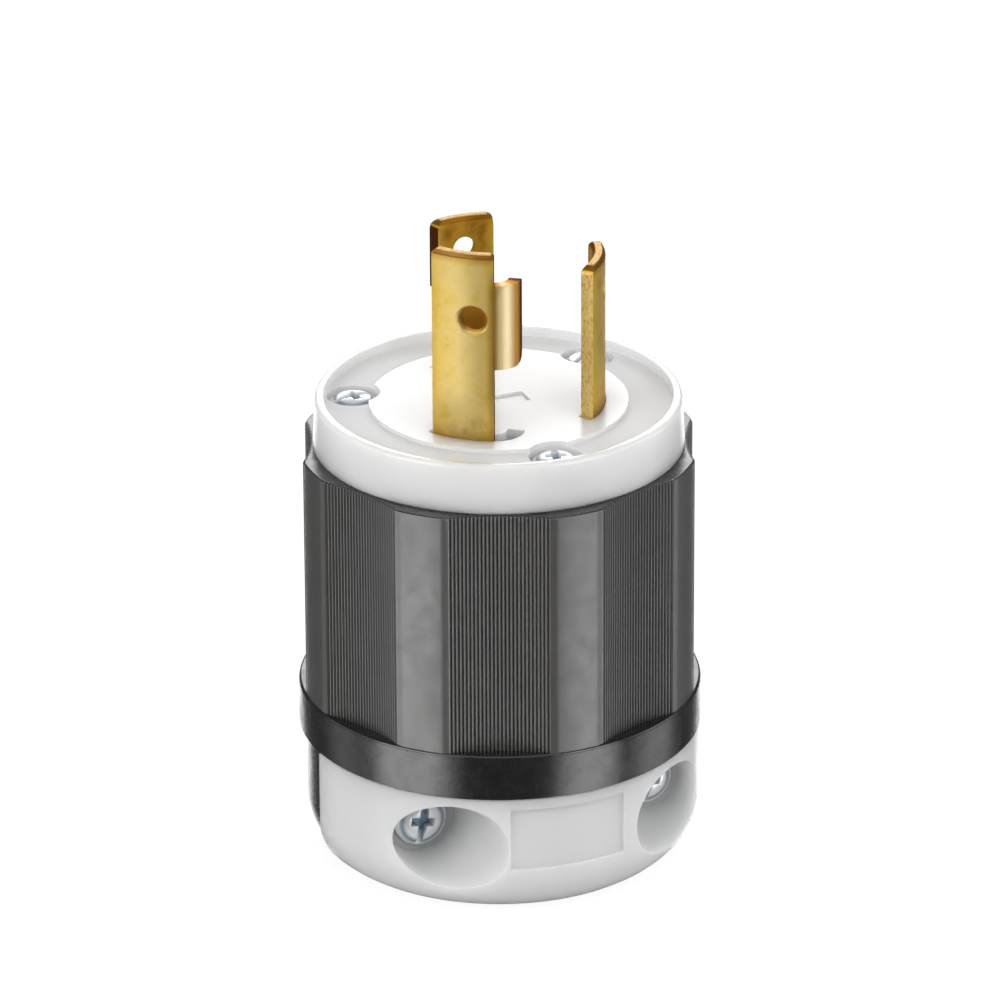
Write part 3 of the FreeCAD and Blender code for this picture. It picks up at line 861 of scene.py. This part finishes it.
for source, none_at, full_at, strength, colour in (
    (from_side, 2.0, 3.4, 0.35, "#d6c48e"),
    (blotch, 0.0, 1.0, 0.3, "#b48a34"),
    # Blotches towards the face are darker: partly tarnish, partly painted shade where the blade stands in the
    # face.
    (blotch_and_shade_near_face, 0.1, 0.9, 0.7, "#94681f"),
    # Painted shade: the inner face, towards the axis, is darker and browner, in blotches, and darker still
    # low down between the blades.
    (inner_face, 0.2, 0.9, 0.85, "#b5840f"),
    (inner_blotch_and_shade, 0.1, 0.9, 0.7, "#7d4f10"),
    (painted_shade_low_inside, 11.0, 14.0, 0.85, "#8a5416"),
    (from_side, 1.5, 0.15, 0.7, "#dcb048"),
    # Painted shade: darker in the last 1.8 mm above the face, where the blade stands in it.
    (above_face, 1.8, 0.0, 0.6, "#8a6426"),
    (from_tip, 1.5, 0.8, 0.5, "#b07e24"),
    (from_tip, 0.66, 0.52, 0.8, "#70440c"),
    (level_top, 0.0, 1.0, 1.0, "#dcc298"),
    (rough_top, 0.3, 1.0, 0.7, "#a87c40"),
    # Painted light and shade across the hook's bend: a pale painted highlight near its start, gold in the
    # middle, nearly black towards its end where it turns from the light, and a painted shadow at its root.
    (hook_share, 0.02, 0.24, 0.85, "#f0dcb0"),
    (hook_share, 0.42, 0.58, 0.9, "#b9822a"),
    (hook_share, 0.68, 0.86, 1.0, "#3a1c06"),
    (hook_root, 0.1, 1.0, 0.75, "#6a4208"),
    # Painted light and shade on the sheared ends: the start wall painted pale gold, with shear grain, and the
    # far wall painted dark brown, a painted reflection of the dark that edge mirrors.
    (end_wall, 0.55, 0.9, 1.0, "#e0c478"),
    (rough_end, 0.3, 1.0, 0.55, "#b07a26"),
    (end_wall, -0.55, -0.9, 1.0, "#482508"),
):
    amount = add_node(brass_tree, "ShaderNodeMapRange", {
        "From Min": none_at, "From Max": full_at, "To Max": strength,
    }, {"Value": source})
    tint = add_node(brass_tree, "ShaderNodeMix", {"data_type": "RGBA", 7: tone(colour)}, {
        0: amount.outputs["Result"], 6: tint,
    }).outputs[2]
brass_tree.links.new(tint, brass_surface.inputs["Base Color"])
brass_haze = add_node(brass_tree, "ShaderNodeMapRange", {"To Min": 0.4, "To Max": 0.55}, {"Value": cloud})
brass_tree.links.new(brass_haze.outputs["Result"], brass_surface.inputs["Roughness"])
brass_bump = add_node(brass_tree, "ShaderNodeBump", {"Strength": 0.12, "Distance": roll_line_depth * MM}, {
    "Height": roll_lines,
})
brass_tree.links.new(brass_bump.outputs["Normal"], brass_surface.inputs["Normal"])


def flat_blade(outline, holes, tip):
    """Flat blank in width and level, with its punched holes, thinned towards its tip on both faces."""
    bm = bmesh.new()
    half = blade_thick / 2
    face = bm.faces.new([bm.verts.new((width * MM, -half * MM, level * MM)) for width, level in outline])
    drawn = bmesh.ops.extrude_face_region(bm, geom=[face])["geom"]
    moved = [item for item in drawn if isinstance(item, bmesh.types.BMVert)]
    bmesh.ops.translate(bm, verts=moved, vec=(0, blade_thick * MM, 0))
    bmesh.ops.recalc_face_normals(bm, faces=bm.faces)
    punches = []
    for width, level, radius in holes:
        ends = (width, -punch_reach, level), (width, punch_reach, level)
        punches.append(rod(radius, *ends, small_turn_steps))
        ends = (width, half - hole_chamfer, level), (width, half + hole_chamfer, level)
        punches.append(rod(radius, *ends, small_turn_steps, radius + 2 * hole_chamfer))
    blank = carved(bm, punches)
    sliced(blank, (0, 0, tip - tip_height), (0, 0, 1))
    for vert in blank.verts:
        raised = max(vert.co.z / MM - (tip - tip_height), 0) / tip_height
        vert.co.y *= 1 - raised * tip_bevel / half
    return blank


def corner_points(width, level, side, rise, size, steps=5):
    """Rounded corner of a blank, as points from its level edge to its upright edge."""
    points = []
    for step in range(steps + 1):
        turn = math.radians(90 * step / steps)
        inwards, downwards = size * (1 - math.sin(turn)), size * (1 - math.cos(turn))
        points.append((width - side * inwards, level - rise * downwards))
    return points


def note_places(mesh, width, end, tip):
    """Where each point lay on the flat blank, in millimetres, which places the tarnish and the painted light
    and shade.
    """
    mesh.attributes.new("blank_place", "FLOAT_VECTOR", "POINT")
    for name in ("end_wall", "hook_share", "hook_root", "inner_face"):
        mesh.attributes.new(name, "FLOAT", "POINT")
    blank, wall = mesh.attributes["blank_place"], mesh.attributes["end_wall"]
    hook, inner = mesh.attributes["hook_share"], mesh.attributes["inner_face"]
    root = mesh.attributes["hook_root"]
    for index, vert in enumerate(mesh.vertices):
        along, across, level = vert.co / MM
        on_hook = along > width + edge_break
        side = min(along, end - along) if on_hook else min(along, abs(width - along))
        top = tip - hook_drop + tab_tarnish_lift if on_hook else tip
        blank.data[index].vector = (side, top - level, level - face_top)
        if along < edge_break / 2:
            wall.data[index].value = 1.0
        elif width - edge_break / 2 < along < width + wall_margin:
            wall.data[index].value = -1.0
        hook.data[index].value = (along - width) / (end - width) if on_hook else 0.0
        inner.data[index].value = 0.5 - across / blade_thick
        if end > width and face_top + hook_low < level < tip - hook_drop:
            shadow = root_shadow if along < width else root_shadow_on_tab
            root.data[index].value = max(0, 1 - abs(along - width) / shadow)


def bent_blade(name, blank, span, hooked, tip):
    """Blank cut into narrow strips and bent about the axis, with broken edges and its shank."""
    arc = arc_width(span)
    end = arc + (hook_length if hooked else 0)
    strips = ground_strips if hooked else line_strips
    for index in range(1, strips):
        sliced(blank, (end * index / strips, 0, 0), (1, 0, 0))
    piece = as_object(name, blank)
    rounded = round_edges(piece, edge_break, 50)
    note_places(rounded, arc, end, tip)
    for vert in rounded.vertices:
        flat = strip_place(vert.co.x / MM, vert.co.y / MM, span, hooked)
        vert.co = Vector((flat.x * MM, flat.y * MM, vert.co.z))
    shaped = bmesh.new()
    shaped.from_mesh(rounded)
    bmesh.ops.recalc_face_normals(shaped, faces=shaped.faces)
    shank = box_cutter(
        (shank_face - blade_thick, -shank_width / 2, shank_low),
        (shank_face, shank_width / 2, blade_root + shank_overlap),
    )
    turn = Matrix.Rotation(math.radians(sum(span) / 2), 4, "Z")
    bmesh.ops.transform(shank, matrix=turn, verts=shank.verts)
    lay_in(shaped, shank)
    shaped.to_mesh(rounded)
    shaped.free()
    return piece


ground_tip = face_top + ground_height
ground_width = arc_width(ground_span)
tab_end = ground_width + hook_length
tab_foot = face_top + hook_low
tab_top = ground_tip - hook_drop
ground_outline = (
    [(0, blade_root), (ground_width, blade_root), (ground_width, tab_foot)]
    + corner_points(tab_end, tab_foot, 1, -1, hook_corner)
    + [(tab_end, tab_top), (ground_width, tab_top)]
    + corner_points(ground_width, ground_tip, 1, 1, ground_corner)[::-1]
    + corner_points(0, ground_tip, -1, 1, ground_corner)
)
ground_blank = flat_blade(ground_outline, [(
    ground_width / 2 + ground_hole_shift, ground_tip - ground_hole_drop, ground_hole_radius,
)], ground_tip)
ground = bent_blade("ground_contact", ground_blank, ground_span, True, ground_tip)
finish_piece(ground, brass, ["ground_blade"])

line_tip = face_top + line_height
neck_top = line_tip - foot_height
for number, span in enumerate(line_spans, 1):
    width = arc_width(span)
    outline = (
        [(0, blade_root), (width - neck_cut, blade_root), (width - neck_cut, neck_top), (width, neck_top)]
        + corner_points(width, line_tip, 1, 1, line_corner)[::-1]
        + corner_points(0, line_tip, -1, 1, line_corner)
    )
    blank = flat_blade(outline, [(width / 2, line_tip - line_hole_drop, line_hole_radius)], line_tip)
    line_contact = bent_blade("line_contact_%d" % number, blank, span, False, line_tip)
    finish_piece(line_contact, brass, ["line_blade_%d" % number])


# Screws: zinc-plated steel, cold headed, with a slot and a cross in one recess. Three long
# ones hold the face to the shell and two shorter ones close the cord clamp.
dome_share, dome_power = 0.45, 3.6
dome_rings = (0.97, 0.9, 0.8, 0.65, 0.45, 0.2)
slot_half, slot_depth = 0.4, 0.8
bar_half, bar_depth = 0.55, 1.3
bar_reach, bar_taper = 0.6, 0.5
recess_share, recess_start = 0.8, 0.2
tip_width, tip_length = 0.7, 0.4
head_steps = 64
head_edge = 0.07
shank_lift = 0.01
face_screw_shank, clamp_screw_shank = 1.9, 2.0
face_screw_spins = (20, 5, 75)
clamp_screw_spin = 80
clamp_head_gap = 0.12

# Blue zinc plate is a bright, slightly cold mirror with soft clouds. The recess that the
# punch leaves in it is painted a darker blue-grey, a painted shade, and is less metallic.
zinc_cloud_size = 0.7
zinc, zinc_tree, zinc_surface, zinc_base = cloudy_material(
    "blue_zinc_plated_steel", {}, "#e8ecee", "#fafbfb", zinc_cloud_size,
)
zinc_recess = add_node(zinc_tree, "ShaderNodeAttribute", {"attribute_name": "recess"}).outputs["Fac"]
# Painted shade: the slot and cross recess is coloured darker blue-grey.
zinc_shade = add_node(zinc_tree, "ShaderNodeMix", {"data_type": "RGBA", 7: tone("#8297a6")}, {
    0: zinc_recess, 6: zinc_base["shade"],
})
zinc_tree.links.new(zinc_shade.outputs[2], zinc_surface.inputs["Base Color"])
zinc_metal = add_node(zinc_tree, "ShaderNodeMapRange", {"To Min": 0.5, "To Max": 0.4}, {"Value": zinc_recess})
zinc_tree.links.new(zinc_metal.outputs["Result"], zinc_surface.inputs["Metallic"])
zinc_haze = add_node(zinc_tree, "ShaderNodeMapRange", {"To Min": 0.3, "To Max": 0.42}, {
    "Value": zinc_base["cloud"],
})
zinc_tree.links.new(zinc_haze.outputs["Result"], zinc_surface.inputs["Roughness"])


def pan_screw(name, place, axis, head_radius, head_height, shank_radius, length, spin):
    """Pan-headed screw with a combined slot and cross, its seat at a point in millimetres."""
    dome = head_height * dome_share
    head = turned(
        [(0, 0), (head_radius, 0), (head_radius, head_height - dome)]
        + [(ring * head_radius, head_height - dome + dome * (1 - ring ** dome_power)) for ring in dome_rings]
        + [(0, head_height)], head_steps,
    )
    reach = head_radius + past
    arm = head_radius * bar_reach
    above = head_height + past
    cutters = [box_cutter((-reach, -slot_half, head_height - slot_depth), (reach, slot_half, above))]
    for turn in (0, 90):
        bar = box_cutter((-arm, -bar_half, head_height - bar_depth), (arm, bar_half, above))
        for vert in bar.verts:
            if vert.co.z < head_height * MM:
                vert.co.x *= bar_taper
        bmesh.ops.rotate(bar, verts=bar.verts, matrix=Matrix.Rotation(math.radians(turn), 3, "Z"))
        cutters.append(bar)
    bm = carved(head, cutters)
    recess = bm.verts.layers.float.new("recess")
    for vert in bm.verts:
        sunk = head_height - vert.co.z / MM
        central = vert.co.xy.length < head_radius * recess_share * MM
        deep = head_height * recess_start < sunk < head_height - shank_lift
        vert[recess] = 1.0 if central and deep else 0.0
    lay_in(bm, turned([
        (0, -length),
        (shank_radius * tip_width, -length),
        (shank_radius, -length + shank_radius * tip_length),
        (shank_radius, -shank_lift),
        (0, -shank_lift),
    ], small_turn_steps))
    turn = Vector(axis).to_track_quat("Z", "Y").to_matrix().to_4x4()
    matrix = Matrix.Translation(Vector(place) * MM) @ turn @ Matrix.Rotation(math.radians(spin), 4, "Z")
    bmesh.ops.transform(bm, matrix=matrix, verts=bm.verts)
    return as_object(name, bm)


for number, spin in enumerate(face_screw_spins, 1):
    node = "assembly_screw_%d" % number
    axis_x, axis_y, low, high = upright_axis(node)
    seat_level = face_top - pocket_depth
    screw = pan_screw(
        "face_screw_%d" % number, (axis_x, axis_y, seat_level), (0, 0, 1), (high[0] - low[0]) / 2 / MM,
        high[2] / MM - seat_level, face_screw_shank, seat_level - low[2] / MM, spin,
    )
    finish_piece(screw, zinc, [node], edge=head_edge)
for number, axis_x in ((1, -screw_offset), (2, screw_offset)):
    node = "clamp_screw_%d" % number
    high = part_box(node)[1]
    screw = pan_screw(
        "grip_screw_%d" % number, (axis_x, -screw_seat, screw_level), (0, -1, 0),
        step_radius - clamp_head_gap, clamp_head_height, clamp_screw_shank,
        high[1] / MM + screw_seat, clamp_screw_spin,
    )
    finish_piece(screw, zinc, [node], edge=head_edge)


# Inner pieces that the closed shell hides: they keep their own shapes and get a finish.
# The contact block is plain nylon, the plates and nuts zinc-plated steel, the inserts and
# line screws turned brass, and the ground screw is dyed green, as is usual.
inner_steel = ["pressure_plate_ground", "clamp_nut_1", "clamp_nut_2"]
inner_steel += ["pressure_plate_line_%d" % number for number in (1, 2)]
inner_brass = ["threaded_insert_%d" % number for number in (1, 2, 3)]
inner_brass += ["terminal_screw_line_%d" % number for number in (1, 2)]
for name, metallic, roughness, dark, light, size, nodes in (
    ("natural_moulded_nylon", 0.0, 0.5, "#cfcec8", "#dad9d4", 5, ["contact_block"]),
    ("zinc_plated_stamping", 1.0, 0.35, "#b9bfc4", "#d5d9db", 0.8, inner_steel),
    ("turned_free_cutting_brass", 1.0, 0.3, "#b9944a", "#dcbc74", 1.5, inner_brass),
    ("green_dyed_steel", 0.6, 0.4, "#1f5a33", "#2d7243", 1.5, ["terminal_screw_ground"]),
):
    settings = {"Metallic": metallic, "Roughness": roughness}
    if not metallic:
        settings["IOR"] = nylon_ior
    finish = cloudy_material(name, settings, dark, light, size)[0]
    for node in nodes:
        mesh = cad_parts[node].data
        mesh.materials.clear()
        mesh.materials.append(finish)
